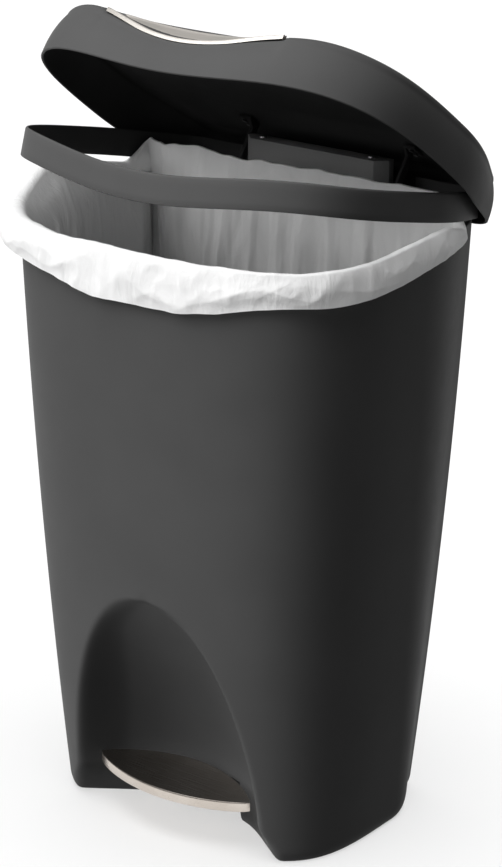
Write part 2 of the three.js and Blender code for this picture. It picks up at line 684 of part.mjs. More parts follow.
function lidScrew(side, back) {
  const x = side * (LID_ARM.x + 9);
  return rod("z", 2.6, LID_PAD_Z - 5, LID_PAD_Z - 3 - GAP, x, HINGE.y - 36 + back, 12);
}

// ---------- liner bag ----------
// The film's path in one upright slice: up from the hem outside the bin, over the rim, down to the floor.
function linerPath(p) {
  const back = smoothstep(75, 108, p.y);
  const middle = back * (1 - smoothstep(100, 160, Math.abs(p.x)));
  const crest = RIM_Z + LINER.crest + LINER.backCrest * middle;
  const drop = lerp(LINER.hemDrop, 3, smoothstep(20, 80, p.y)) + 12 * middle;
  const out = lerp(LINER.proud, -LINER.inset, back);
  const behind = LINER.backY + 2.8;
  const path = [
    [out + 1, crest - drop, behind], [out + 1.5, crest - 0.5 * drop, behind], [out - 1, crest - 0.12 * drop, behind],
    [lerp(2, -LINER.inset, back), crest, LINER.backY + 1.4], [-LINER.inset, crest - 4, LINER.backY],
  ];
  const heights = WALL_LEVELS.filter((z) => z > LINER.floor + 10 && z < RIM_Z).reverse();
  [...heights, LINER.floor].forEach((z) => path.push([-LINER.inset, z, LINER.backY]));
  return path;
}

// The film's two faces, half a film's thickness either side of that path.
function linerLoops(side) {
  const outline = bodyOutline(RIM_Z, 0);
  const paths = outline.map(linerPath);
  return paths[0].map((_, j) => {
    const rings = new Map();
    return outline.map((p, i) => {
      const path = paths[i];
      const before = path[Math.max(0, j - 1)];
      const after = path[Math.min(path.length - 1, j + 1)];
      const length = Math.hypot(after[0] - before[0], after[1] - before[1]);
      const normal = [-(after[1] - before[1]) / length, (after[0] - before[0]) / length];
      const step = (side * LINER.film) / 2;
      const z = path[j][1] + normal[1] * step;
      const offset = path[j][0] + normal[0] * step;
      const key = Math.round(z * 10);
      if (!rings.has(key)) rings.set(key, bodyOutline(z, 0));
      const q = offsetOutline(rings.get(key), offset)[i];
      return new THREE.Vector3(q.x, Math.min(q.y, path[j][2] + normal[0] * step), z);
    });
  });
}

function binLiner() {
  const canSide = linerLoops(1);
  const inside = linerLoops(-1);
  inside.at(-1).forEach((p) => (p.z = LINER.floor + LINER.film));
  return shell(canSide, inside, false);
}

// ---------- assembly ----------
const MATERIALS = {
  charcoal: new THREE.MeshStandardMaterial({ color: 0x3a3a3b, roughness: 0.55, metalness: 0 }),
  black: new THREE.MeshStandardMaterial({ color: 0x1c1c1d, roughness: 0.6, metalness: 0 }),
  nickel: new THREE.MeshStandardMaterial({ color: 0xcbc3b8, roughness: 0.3, metalness: 1 }),
  steel: new THREE.MeshStandardMaterial({ color: 0x9a9a9c, roughness: 0.35, metalness: 1 }),
  film: new THREE.MeshStandardMaterial({ color: 0xf2f2f0, roughness: 0.5, metalness: 0 }),
};

const can = new THREE.Group();

function place(name, body, material, group = can) {
  const mesh = new THREE.Mesh(geometryOf(body), MATERIALS[material].clone());
  mesh.name = name;
  group.add(mesh);
}

// A group whose contents are modelled closed and shown turned open about the hinge axis.
function openedGroup(angle) {
  const pivot = new THREE.Group();
  pivot.position.set(0, HINGE.y, HINGE.z);
  pivot.rotation.x = -angle;
  const contents = new THREE.Group();
  contents.position.set(0, -HINGE.y, -HINGE.z);
  pivot.add(contents);
  can.add(pivot);
  return contents;
}

place("body_shell", bodyShell(), "charcoal");
place("hinge_housing", hingeHousing(), "black");
place("rod_cover", rodCover(), "black");
place("bin_liner", binLiner(), "film");
place("cover_screw_lower", coverScrew(110), "steel");
place("cover_screw_upper", coverScrew(530), "steel");
place("rod_guide_lower", rodGuide(150), "black");
place("rod_guide_upper", rodGuide(480), "black");
place("pivot_pin", pivotPin(), "steel");
place("pedal_arm", pedalArm(), "black");
place("pedal_tread", pedalTread(), "nickel");
place("lift_rod", liftRod(), "steel");
place("rod_lower_pin", rodPin(LEVER.pivotZ), "steel");
place("rod_upper_pin", rodPin(CRANK_PIN_Z), "steel");
place("lift_crank", liftCrank(), "steel");
place("hinge_shaft", rod("x", SHAFT.radius, -SHAFT.halfLength, SHAFT.halfLength, HINGE.y, HINGE.z, 20), "steel");

const SIDES = { left: -1, right: 1 };
Object.entries(SIDES).forEach(([name, side]) => {
  place("pivot_bracket_" + name, pivotBracket(side), "black");
  place("pivot_clip_" + name, pivotClip(side), "steel");
  place("shaft_bearing_" + name, shaftBearing(side), "black");
  place("housing_screw_" + name, housingScrew(side), "steel");
  place("bracket_screw_front_" + name, bracketScrew(side, -1), "steel");
  place("bracket_screw_rear_" + name, bracketScrew(side, 1), "steel");
  place("tread_screw_" + name, treadScrew(side * 10), "steel");
  place("lift_finger_" + name, liftFinger(side), "steel");
});

const ringGroup = openedGroup(RING_REST);
place("liner_ring", linerRing(), "charcoal", ringGroup);

const lidGroup = openedGroup(LID_REST);
place("lid_shell", lidShell(), "charcoal", lidGroup);
place("lid_handle_insert", handleInsert(), "nickel", lidGroup);
Object.entries(SIDES).forEach(([name, side]) => {
  place("lid_arm_" + name, lidArm(side), "black", lidGroup);
  place("lid_screw_front_" + name, lidScrew(side, 0), "steel", lidGroup);
  place("lid_screw_rear_" + name, lidScrew(side, 10), "steel", lidGroup);
});

// The origin is on the floor, midway between the foremost and rearmost points.
const bounds = new THREE.Box3().setFromObject(can, true);
can.position.y = -(bounds.min.y + bounds.max.y) / 2;

export default can;
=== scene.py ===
import json
import math

import bmesh
import bpy
import numpy as np
from mathutils import Matrix, Vector, noise

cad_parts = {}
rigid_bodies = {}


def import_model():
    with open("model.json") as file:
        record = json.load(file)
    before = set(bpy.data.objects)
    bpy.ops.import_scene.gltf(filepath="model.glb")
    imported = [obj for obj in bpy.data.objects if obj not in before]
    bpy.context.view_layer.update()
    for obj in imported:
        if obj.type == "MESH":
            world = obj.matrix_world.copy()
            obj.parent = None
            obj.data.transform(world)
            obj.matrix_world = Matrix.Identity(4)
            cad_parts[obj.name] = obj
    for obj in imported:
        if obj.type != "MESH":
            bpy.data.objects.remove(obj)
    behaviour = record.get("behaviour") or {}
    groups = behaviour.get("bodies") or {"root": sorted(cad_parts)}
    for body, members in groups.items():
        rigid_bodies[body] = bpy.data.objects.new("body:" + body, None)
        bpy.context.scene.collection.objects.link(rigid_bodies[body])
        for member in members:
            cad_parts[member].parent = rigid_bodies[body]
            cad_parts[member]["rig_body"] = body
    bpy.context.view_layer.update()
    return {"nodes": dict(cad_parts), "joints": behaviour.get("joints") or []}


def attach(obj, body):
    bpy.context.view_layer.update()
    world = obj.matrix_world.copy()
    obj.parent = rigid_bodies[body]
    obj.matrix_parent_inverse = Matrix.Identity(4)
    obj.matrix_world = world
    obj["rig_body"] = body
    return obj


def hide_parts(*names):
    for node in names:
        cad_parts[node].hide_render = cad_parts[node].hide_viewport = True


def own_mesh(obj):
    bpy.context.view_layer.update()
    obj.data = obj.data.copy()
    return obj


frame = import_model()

# ---------------------------------------------------------------- dimensions, in millimetres
RIM_Z = 608.0
WALL = 2.8
FLOOR_TOP = 71.0
FLOOR_UNDERSIDE = 68.0
SIDE_LEAN = math.radians(19.4)
TAPER_BEND = 0.526
BACK_CORNER = 13.0
TOP_PLAN = dict(half_width=206.3, front=157.2, back=156.9, widest_y=22.9,
                corner_x=0.83, front_pull=0.95, side_pull=0.65)
BOTTOM_PLAN = dict(half_width=171.0, front=123.0, back=125.5, widest_y=44.3,
                   corner_x=0.8, front_pull=1.03, side_pull=0.63)
COLUMNS = dict(front=110, side=34, corner=14, back=14)  # outline points of the right half
RECESS = dict(top_z=258.0, half_width=115.0, arch_power=2.15, flare=18.0, flare_z=40.0, back_y=-48.0,
              straight_z=60.0, top_y=-140.0, back_power=1.7, bowl=44.0, bowl_rise=12.0, bowl_x=120.5,
              bowl_power=2.25, wall_slope=2.0, end_slope=1.0, slope_z=60.0, edge_round=10.0,
              back_round=14.0)
SLOT = dict(half_width=50.0, top_z=46.0, front_y=-90.0, back_y=-20.0)
HINGE = dict(y=145.0, z=597.0)
RING_REST = math.radians(13.6)
LID_REST = math.radians(36.1)
WAVE_SPAN = 0.9
RING = dict(offset=4.1, wall=2.8, height=28.0, bottom=-3.6, dip=15.6, rise=5.0, back_lean=7.0,
            top_inset=1.2, notch_half_width=100.4, notch_front_y=100.0, notch_back_y=146.0,
            bridge_height=9.0)
RING_LUG = dict(x=101.0, width=5.0)
LID = dict(offset=11.6, wall=2.5, bottom=-5.0, dip=15.7, back_rise=9.0, edge=46.0, edge_rise=5.0,
           inset=8.6, inset_power=2.4, edge_round=9.0, front_round=3.0, top_dip=29.5,
           dip_half_width=165.0, dip_reach=62.0, dip_power=1.5, crown=7.0)
HANDLE = dict(half_width=103.0, depth=25.0, end_depth=5.0, pocket=3.2, lip=1.3, dish=1.4, thickness=2.0,
              groove_at=8.0, groove_reach=4.0, groove_depth=1.8)
BAG = dict(crest=7.0, crest_round=7.0, back_rise=27.0, left_rise=34.0, right_rise=8.0, drop=50.0,
           side_lift=18.0, back_drop=14.0, proud=9.0, inset=6.0, sag=20.0, sag_depth=0.12,
           under_ring=6.0, back_y=98.0, floor=80.0,
           columns=720, outside_rows=34, fold_rows=5, inside_rows=76)
TREAD = dict(half_width=94.5, front_y=-129.0, tip_y=-94.0, back_y=-56.0, top_z=55.2,
             thickness=10.5, wall=2.0)

# Painted shadow on the floor under the bin: a dark oval patch behind the foot recess.
SHADOW_UNDER_BIN = dict(y=38.0, dark_radius=70.0, radius=86.0, x_scale=0.62)

JOINTS = {joint["name"]: joint for joint in frame["joints"]}
SHIFT_Y = JOINTS["lid_hinge"]["pos_m"][1] * 1000.0 - HINGE["y"]


# ---------------------------------------------------------------- small helpers
def lerp(a, b, t):
    return a + (b - a) * t


def smoothstep(low, high, value):
    t = np.clip((np.asarray(value, float) - low) / (high - low), 0.0, 1.0)
    return t * t * (3.0 - 2.0 * t)


def smooth_max(a, b, radius):
    h = np.maximum(0.0, radius - np.abs(a - b)) / radius
    return np.maximum(a, b) + h * h * radius / 4.0


def bezier(points, steps):
    t = np.linspace(0.0, 1.0, steps + 1)[:, None]
    if len(points) == 3:
        weights = [(1 - t) ** 2, 2 * t * (1 - t), t ** 2]
    else:
        weights = [(1 - t) ** 3, 3 * t * (1 - t) ** 2, 3 * t ** 2 * (1 - t), t ** 3]
    return sum(w * np.asarray(p, float) for w, p in zip(weights, points))


def to_row(points):
    """Millimetres on the bin's own axes become metres in the row frame."""
    moved = np.asarray(points, float).reshape(-1, 3) + [0.0, SHIFT_Y, 0.0]
    return moved / 1000.0


def opened(points, angle):
    """Points modelled closed, turned open about the hinge axis."""
    points = np.array(points, float)
    y = points[..., 1] - HINGE["y"]
    z = points[..., 2] - HINGE["z"]
    points[..., 1] = HINGE["y"] + y * math.cos(angle) + z * math.sin(angle)
    points[..., 2] = HINGE["z"] - y * math.sin(angle) + z * math.cos(angle)
    return points


def new_object(name, points, faces, smooth_angle=35.0):
    mesh = bpy.data.meshes.new(name)
    mesh.from_pydata([tuple(p) for p in to_row(points)], [], faces)
    mesh.update()
    obj = bpy.data.objects.new(name, mesh)
    bpy.context.scene.collection.objects.link(obj)
    shade(obj, smooth_angle)
    return obj


def shade(obj, angle):
    obj.data.shade_smooth()
    obj.data.set_sharp_from_angle(angle=math.radians(angle))


def apply_modifiers(obj):
    graph = bpy.context.evaluated_depsgraph_get()
    mesh = bpy.data.meshes.new_from_object(obj.evaluated_get(graph))
    obj.modifiers.clear()
    obj.data = mesh


def loft_faces(row_count, count, closed_tube=False):
    """Quads between stacked closed rings, the last row joining the first on a closed tube."""
    faces = []
    last = row_count if closed_tube else row_count - 1
    for r in range(last):
        low = r * count
        high = ((r + 1) % row_count) * count
        for i in range(count):
            j = (i + 1) % count
            faces.append((low + i, low + j, high + j, high + i))
    return faces


def lofted(name, rows, caps=True, closed_tube=False, smooth_angle=35.0):
    rows = [np.asarray(row, float) for row in rows]
    count = len(rows[0])
    faces = loft_faces(len(rows), count, closed_tube)
    if caps:
        faces.append(tuple(reversed(range(count))))
        last = (len(rows) - 1) * count
        faces.append(tuple(range(last, last + count)))
    return new_object(name, np.concatenate(rows), faces, smooth_angle)


# ---------------------------------------------------------------- the bin's plan outline
def half_outline(plan):
    corner = np.array([plan["half_width"] * plan["corner_x"], plan["back"]])
    side_end = np.array([-math.sin(SIDE_LEAN), math.cos(SIDE_LEAN)])
    corner_start = corner - side_end * BACK_CORNER
    corner_end = corner - [BACK_CORNER, 0.0]
    widest = [plan["half_width"], plan["widest_y"]]
    depth = plan["widest_y"] + plan["front"]
    length = plan["back"] - plan["widest_y"]
    front = bezier([
        [0.0, -plan["front"]],
        [plan["front_pull"] * plan["half_width"], -plan["front"]],
        [plan["half_width"], plan["widest_y"] - plan["side_pull"] * depth],
        widest,
    ], COLUMNS["front"])
    side = bezier([
        widest,
        [plan["half_width"], plan["widest_y"] + 0.35 * length],
        corner_start - side_end * 0.3 * length,
        corner_start,
    ], COLUMNS["side"])
    round_corner = bezier([corner_start, corner, corner_end], COLUMNS["corner"])
    share = np.linspace(0.0, 1.0, COLUMNS["back"] + 1)[1:, None]
    back = lerp(corner_end, np.array([0.0, plan["back"]]), share)
    return np.concatenate([front, side[1:], round_corner[1:], back])


def full_outline(plan):
    right = half_outline(plan)
    left = right[1:-1][::-1] * [-1.0, 1.0]
    return np.concatenate([right, left])


def plan_at(z):
    down = 1.0 - min(z, RIM_Z) / RIM_Z
    share = down * TAPER_BEND + (1.0 - TAPER_BEND) * down * down
    return {key: lerp(TOP_PLAN[key], BOTTOM_PLAN[key], share) for key in TOP_PLAN}


def recess_y(x, front_y, z):
    arch = RECESS["half_width"] * math.sqrt(max(0.0, 1.0 - (z / RECESS["top_z"]) ** RECESS["arch_power"]))
    flare = RECESS["flare"] * (1.0 - smoothstep(0.0, RECESS["flare_z"], z))
    near_top = smoothstep(RECESS["top_z"] - RECESS["slope_z"], RECESS["top_z"], z)
    steep = smoothstep(0.0, RECESS["slope_z"], z) * (1.0 - near_top)
    slope = lerp(RECESS["end_slope"], RECESS["wall_slope"], steep)
    wall = front_y + slope * (arch + flare - np.abs(x))
    rise = max(0.0, z - RECESS["straight_z"]) / (RECESS["top_z"] - RECESS["straight_z"])
    middle = lerp(RECESS["back_y"], RECESS["top_y"], rise ** RECESS["back_power"])
    bowl = RECESS["bowl"] + RECESS["bowl_rise"] * smoothstep(0.0, RECESS["straight_z"], z)
    back = middle - bowl * (np.abs(x) / RECESS["bowl_x"]) ** RECESS["bowl_power"]
    return -smooth_max(-back, -wall, RECESS["back_round"])


def offset_outline(points, offset):
    along = np.roll(points, -1, axis=0) - np.roll(points, 1, axis=0)
    along /= np.linalg.norm(along, axis=1, keepdims=True)
    offset = np.asarray(offset, float).reshape(-1, 1)
    return points + np.stack([along[:, 1], -along[:, 0]], axis=1) * offset


def body_outline(z, offset=0.0):
    points = full_outline(plan_at(z))
    scooped = smooth_max(points[:, 1], recess_y(points[:, 0], points[:, 1], z), RECESS["edge_round"])
    points[:, 1] = np.where(points[:, 1] <= 0.0, scooped, points[:, 1])
    return offset_outline(points, offset)


def level(z, offset):
    outline = body_outline(z, offset)
    return np.column_stack([outline, np.full(len(outline), z)])


RIM_OUTLINE = body_outline(RIM_Z)


# ---------------------------------------------------------------- materials
def node_material(name):
    material = bpy.data.materials.new(name)
    material.use_nodes = True
    tree = material.node_tree
    shader = tree.nodes["Principled BSDF"]
    return material, tree, shader


def noise_node(tree, coords, scale, detail=3.0, roughness=0.5):
    node = tree.nodes.new("ShaderNodeTexNoise")
    node.inputs["Scale"].default_value = scale
    node.inputs["Detail"].default_value = detail
    node.inputs["Roughness"].default_value = roughness
    tree.links.new(coords, node.inputs["Vector"])
    return node


def ramp_node(tree, source, stops):
    node = tree.nodes.new("ShaderNodeValToRGB")
    while len(node.color_ramp.elements) < len(stops):
        node.color_ramp.elements.new(0.5)
    for element, (position, colour) in zip(node.color_ramp.elements, stops):
        element.position = position
        element.color = (*colour, 1.0)
    tree.links.new(source, node.inputs["Fac"])
    return node


def map_node(tree, source, low, high):
    node = tree.nodes.new("ShaderNodeMapRange")
    node.inputs["To Min"].default_value = low
    node.inputs["To Max"].default_value = high
    tree.links.new(source, node.inputs["Value"])
    return node


def bump_node(tree, source, strength, distance, normal=None):
    node = tree.nodes.new("ShaderNodeBump")
    node.inputs["Strength"].default_value = strength
    node.inputs["Distance"].default_value = distance
    tree.links.new(source, node.inputs["Height"])
    if normal is not None:
        tree.links.new(normal, node.inputs["Normal"])
    return node


def moulded_plastic(name, dark, light, roughness, grain=0.12, specular=0.4):
    """Matt moulded plastic: fine spark-eroded grain and faint flow clouds."""
    material, tree, shader = node_material(name)
    coords = tree.nodes.new("ShaderNodeTexCoord").outputs["Object"]
    cloud = noise_node(tree, coords, 9.0, 4.0)
    fine = noise_node(tree, coords, 1400.0, 2.0, 0.6)
    colour = ramp_node(tree, cloud.outputs["Fac"], [(0.35, dark), (0.65, light)])
    tree.links.new(colour.outputs["Color"], shader.inputs["Base Color"])
    rough = map_node(tree, noise_node(tree, coords, 60.0, 4.0).outputs["Fac"],
                     roughness - 0.04, roughness + 0.05)
    tree.links.new(rough.outputs["Result"], shader.inputs["Roughness"])
    bump = bump_node(tree, fine.outputs["Fac"], grain, 0.0004)
    tree.links.new(bump.outputs["Normal"], shader.inputs["Normal"])
    shader.inputs["Specular IOR Level"].default_value = specular
    return material


def satin_metal(name, dark, light, roughness, direction=(6.0, 600.0, 600.0), metallic=1.0):
    """Plated metal with faint brushing along X."""
    material, tree, shader = node_material(name)
    coords = tree.nodes.new("ShaderNodeTexCoord").outputs["Object"]
    mapping = tree.nodes.new("ShaderNodeMapping")
    mapping.inputs["Scale"].default_value = direction
    tree.links.new(coords, mapping.inputs["Vector"])
    lines = noise_node(tree, mapping.outputs["Vector"], 3.0, 4.0, 0.6)
    cloud = noise_node(tree, coords, 22.0, 3.0)
    colour = ramp_node(tree, cloud.outputs["Fac"], [(0.3, dark), (0.7, light)])
    tree.links.new(colour.outputs["Color"], shader.inputs["Base Color"])
    rough = map_node(tree, lines.outputs["Fac"], roughness - 0.06, roughness + 0.08)
    tree.links.new(rough.outputs["Result"], shader.inputs["Roughness"])
    bump = bump_node(tree, lines.outputs["Fac"], 0.08, 0.0003)
    tree.links.new(bump.outputs["Normal"], shader.inputs["Normal"])
    shader.inputs["Metallic"].default_value = metallic
    return material


def bag_film(name):
    """Thin white polythene: milky, lets light through; painted shade makes it greyer inside the bin, over
    the dark wall.
    """
    material, tree, shader = node_material(name)
    coords = tree.nodes.new("ShaderNodeTexCoord").outputs["Object"]
    mapping = tree.nodes.new("ShaderNodeMapping")
    mapping.inputs["Scale"].default_value = (1.0, 1.0, 0.35)
    tree.links.new(coords, mapping.inputs["Vector"])
    crinkle = noise_node(tree, mapping.outputs["Vector"], 34.0, 6.0, 0.62)
    crinkle.inputs["Distortion"].default_value = 1.2
    creases = noise_node(tree, mapping.outputs["Vector"], 110.0, 5.0, 0.6)
    tint = ramp_node(tree, crinkle.outputs["Fac"],
                     [(0.3, (0.77, 0.77, 0.77)), (0.7, (0.86, 0.86, 0.86))])
    inside_shade_mask = tree.nodes.new("ShaderNodeAttribute")
    inside_shade_mask.attribute_name = "painted_inside_shade"
    # Painted shade: the film's colour is multiplied darker inside the bin.
    painted_shading_grey = tree.nodes.new("ShaderNodeMix")
    painted_shading_grey.data_type = "RGBA"
    painted_shading_grey.blend_type = "MULTIPLY"
    painted_shading_grey.inputs["B"].default_value = (0.53, 0.53, 0.53, 1.0)
    tree.links.new(inside_shade_mask.outputs["Fac"], painted_shading_grey.inputs["Factor"])
    tree.links.new(tint.outputs["Color"], painted_shading_grey.inputs["A"])
    tree.links.new(painted_shading_grey.outputs["Result"], shader.inputs["Base Color"])
    coarse = bump_node(tree, crinkle.outputs["Fac"], 0.45, 0.004)
    fine = bump_node(tree, creases.outputs["Fac"], 0.25, 0.001, coarse.outputs["Normal"])
    tree.links.new(fine.outputs["Normal"], shader.inputs["Normal"])
    shader.inputs["Roughness"].default_value = 0.42
    shader.inputs["Specular IOR Level"].default_value = 0.35
    through = tree.nodes.new("ShaderNodeBsdfTranslucent")
    through.inputs["Color"].default_value = (0.85, 0.85, 0.85, 1.0)
    tree.links.new(coarse.outputs["Normal"], through.inputs["Normal"])
    mix = tree.nodes.new("ShaderNodeMixShader")
    mix.inputs["Fac"].default_value = 0.28
    tree.links.new(shader.outputs["BSDF"], mix.inputs[1])
    tree.links.new(through.outputs["BSDF"], mix.inputs[2])
    tree.links.new(mix.outputs["Shader"], tree.nodes["Material Output"].inputs["Surface"])
    return material


MATERIALS = {
    "charcoal": moulded_plastic("charcoal plastic", (0.046, 0.046, 0.046), (0.051, 0.051, 0.051), 0.52,
                                specular=0.03),
    "inner": moulded_plastic("inner black plastic", (0.026, 0.026, 0.026), (0.032, 0.032, 0.032), 0.6,
                             specular=0.05),
    # Charcoal plastic made lighter for the hinge housing: painted light, since the housing is the same
    # plastic as the body.
    "painted_shading_grey": moulded_plastic("grey plastic", (0.18, 0.18, 0.18), (0.21, 0.21, 0.21), 0.5, specular=0.1),
    # Black plastic for the black parts, also laid on the grip insert's groove as a painted dark reflection.
    "black": moulded_plastic("black plastic", (0.020, 0.020, 0.020), (0.026, 0.026, 0.026), 0.5),
    "nickel": satin_metal("satin nickel", (0.60, 0.54, 0.48), (0.72, 0.66, 0.60), 0.28),
    "bright_nickel": satin_metal("bright nickel", (0.25, 0.24, 0.22), (0.30, 0.28, 0.26), 0.38,
                                 metallic=0.35),
    "steel": satin_metal("zinc plated steel", (0.45, 0.45, 0.46), (0.55, 0.55, 0.56), 0.35,
                         (400.0, 400.0, 400.0)),
    "film": bag_film("bag film"),
}


def paint(obj, *names):
    obj.data.materials.clear()
    for name in names:
        obj.data.materials.append(MATERIALS[name])


# ---------------------------------------------------------------- body
def body_levels():
    low = list(np.linspace(16.0, 300.0, 142))
    high = list(np.linspace(306.0, RIM_Z - 4.0, 34))
    return low + high


def body_rows():
    foot = [(0.0, -4.6), (0.8, -3.7), (1.8, -3.0), (3.0, -2.3), (5.0, -1.4), (7.0, -0.8), (10.0, -0.25),
            (13.0, 0.0)]
    rim = [(RIM_Z - 1.4, 0.0), (RIM_Z - 0.6, -0.4), (RIM_Z, -1.4), (RIM_Z - 0.6, -2.4),
           (RIM_Z - 1.4, -WALL)]
    rows = [level(FLOOR_UNDERSIDE, -WALL)]
    rows += [level(z, -WALL) for z in np.linspace(60.0, 14.0, 14)]
    rows += [level(8.0, -WALL - 0.6), level(3.0, -WALL - 1.6), level(0.0, -WALL - 3.0)]
    rows += [level(z, offset) for z, offset in foot]
    rows += [level(z, 0.0) for z in body_levels()]
    rows += [level(z, offset) for z, offset in rim]
    inside = [z for z in reversed(body_levels()) if z > FLOOR_TOP + 6.0]
    rows += [level(z, -WALL) for z in inside]
    rows += [level(FLOOR_TOP + 2.0, -WALL - 0.3), level(FLOOR_TOP + 0.6, -WALL - 1.0),
             level(FLOOR_TOP, -WALL - 2.0)]
    return rows


def cut_box(obj, low, high):
    """Cuts a box out of a closed mesh."""
    corners = to_row([low, high])
    cutter = bpy.data.meshes.new("cutter")
    shape = bmesh.new()
    bmesh.ops.create_cube(shape, size=1.0)
    size = corners[1] - corners[0]
    middle = (corners[0] + corners[1]) / 2.0
    bmesh.ops.transform(shape, matrix=Matrix.Translation(middle) @ Matrix.Diagonal((*size, 1.0)),
                        verts=shape.verts)
    shape.to_mesh(cutter)
    shape.free()
    tool = bpy.data.objects.new("cutter", cutter)
    bpy.context.scene.collection.objects.link(tool)
    modifier = obj.modifiers.new("cut", "BOOLEAN")
    modifier.operation = "DIFFERENCE"
    modifier.solver = "EXACT"
    modifier.object = tool
    bpy.context.view_layer.update()
    apply_modifiers(obj)
    bpy.data.objects.remove(tool)


def make_body():
    body = lofted("bin_body", body_rows())
    half = SLOT["half_width"]
    cut_box(body, [-half, SLOT["front_y"], -1.0], [half, SLOT["back_y"], SLOT["top_z"]])
    shade(body, 40.0)
    paint(body, "charcoal")
    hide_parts("body_shell")
    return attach(body, "can")


# ---------------------------------------------------------------- bag ring
def front_wave(x, y):
    t = np.abs(x) / TOP_PLAN["half_width"]
    wave = 0.5 * (1.0 + np.cos(np.pi * np.minimum(t, WAVE_SPAN) / WAVE_SPAN))
    return np.where(y > 0.0, 0.0, wave)


def depth_share(y):
    return (y + TOP_PLAN["front"]) / (TOP_PLAN["front"] + TOP_PLAN["back"])


def ring_loop(offset, up):
    x, y = RIM_OUTLINE.T
    points = offset_outline(RIM_OUTLINE, offset)
    lean = RING["back_lean"] * up / RING["height"] * smoothstep(110.0, 150.0, y)
    z = RIM_Z + RING["bottom"] - RING["dip"] * front_wave(x, y) + RING["rise"] * depth_share(y) + up
    return np.column_stack([points[:, 0], points[:, 1] - lean, z])


def ring_rows():
    out, wall, height, inset = RING["offset"], RING["wall"], RING["height"], RING["top_inset"]
    inner = out - wall
    section = [(out - 0.9, 0.0), (out - 0.25, 0.35), (out, 1.0)]
    section += [(out - inset * t, lerp(1.0, height - 2.2, t)) for t in (0.25, 0.5, 0.75, 1.0)]
    section += [(out - inset - 0.35, height - 1.0), (out - inset - 1.0, height - 0.25)]
    section += [(out - inset - 1.6, height)]
    section += [(inner - inset + 0.5, height), (inner - inset, height - 0.6)]
    section += [(lerp(inner - inset, inner, t), lerp(height - 1.0, 1.0, t)) for t in (0.0, 0.5, 1.0)]
    section += [(inner + 0.4, 0.0)]
    return [ring_loop(offset, up) for offset, up in section]


def add_ring_lug(ring, side):
    """A hook at the back of the ring that turns on the hinge shaft."""
    outline = [(-8.0, -2.0), (-5.0, -7.0), (0.0, -8.5), (5.0, -6.5), (7.0, -2.0), (3.4, 6.0), (2.8, 20.0),
               (12.8, 20.0), (10.6, 27.0), (-3.0, 27.0), (-7.0, 20.0)]
    shape = bmesh.new()
    shape.from_mesh(ring.data)
    ends = []
    for half in (-0.5, 0.5):
        x = side * RING_LUG["x"] + RING_LUG["width"] * (half + 0.5 * side)
        corners = to_row([(x, HINGE["y"] + y, HINGE["z"] + z) for y, z in outline])
        ends.append([shape.verts.new(corner) for corner in corners])
    sides = [shape.faces.new(ends[0]), shape.faces.new(ends[1])]
    for i in range(len(outline)):
        j = (i + 1) % len(outline)
        sides.append(shape.faces.new([ends[0][i], ends[0][j], ends[1][j], ends[1][i]]))
    bmesh.ops.recalc_face_normals(shape, faces=sides)
    shape.to_mesh(ring.data)
    shape.free()


def turn_open(obj, angle):
    """Turns a mesh modelled closed to its open rest place."""
    for vertex in obj.data.vertices:
        closed = np.array(vertex.co) * 1000.0 - [0.0, SHIFT_Y, 0.0]
        vertex.co = to_row(opened(closed, angle))[0]


def make_ring():
    ring = lofted("bag_ring", ring_rows(), caps=False, closed_tube=True)
    half, front_y, past_ring = RING["notch_half_width"], RING["notch_front_y"], 60.0
    cut_box(ring, [-half, front_y, RIM_Z - 20.0], [half, RING["notch_back_y"], RIM_Z + past_ring])
    cut_box(ring, [-half, front_y, RIM_Z + RING["bridge_height"]], [half, 190.0, RIM_Z + past_ring])
    add_ring_lug(ring, 1.0)
    add_ring_lug(ring, -1.0)
    turn_open(ring, RING_REST)
    shade(ring, 35.0)
    paint(ring, "charcoal")
    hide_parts("liner_ring")
    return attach(ring, "ring")


# ---------------------------------------------------------------- lid
def grip_dip(x, y):
    across = np.minimum(1.0, np.abs(x) / LID["dip_half_width"])
    behind_front = np.maximum(0.0, y + TOP_PLAN["front"])
    fade = np.maximum(0.0, 1.0 - behind_front / LID["dip_reach"]) ** LID["dip_power"]
    return 0.5 * (1.0 + np.cos(np.pi * across)) * fade


def front_edge_y(x):
    """Where the lid's upper front edge runs, in plan."""
    edge = offset_outline(RIM_OUTLINE, LID["offset"] - LID["inset"] - 1.5)
    front = edge[edge[:, 1] < 0.0]
    order = np.argsort(front[:, 0])
    return np.interp(x, front[order, 0], front[order, 1])


def grip_back_y(x):
    """The back edge of the grip insert, in plan: deepest at the middle."""
    t = np.clip(np.abs(x) / HANDLE["half_width"], 0.0, 1.0)
    return front_edge_y(x) + HANDLE["end_depth"] + HANDLE["depth"] * (1.0 - t ** 2.4)


def pocket(x, y):
    """The step down in the lid that the grip insert lies in."""
    inside_x = 1.0 - smoothstep(HANDLE["half_width"] + 0.2, HANDLE["half_width"] + 1.4, np.abs(x))
    inside_y = 1.0 - smoothstep(0.0, 1.5, y - grip_back_y(x) - 0.3)
    return HANDLE["pocket"] * inside_x * inside_y


def lid_top(x, y):
    crown = np.maximum(0.0, 1.0 - (x / TOP_PLAN["half_width"]) ** 2)
    crown = crown * np.maximum(0.0, 1.0 - (y / TOP_PLAN["back"]) ** 2)
    edge = RIM_Z + LID["edge"] + LID["edge_rise"] * depth_share(y)
    return edge + LID["crown"] * crown - LID["top_dip"] * grip_dip(x, y) - pocket(x, y)


def lid_bottom(x, y):
    back = LID["back_rise"] * smoothstep(70.0, TOP_PLAN["back"], y)
    return RIM_Z + LID["bottom"] - LID["dip"] * front_wave(x, y) + back


def lid_round(x, y):
    return lerp(LID["edge_round"], LID["front_round"], grip_dip(x, y))


def lid_side(share, wall):
    x, y = RIM_OUTLINE.T
    points = offset_outline(RIM_OUTLINE, LID["offset"] - LID["inset"] * share ** LID["inset_power"] - wall)
    top = lid_top(x, y) - np.maximum(lid_round(x, y), wall + 0.2)
    return np.column_stack([points, lerp(lid_bottom(x, y), top, share)])


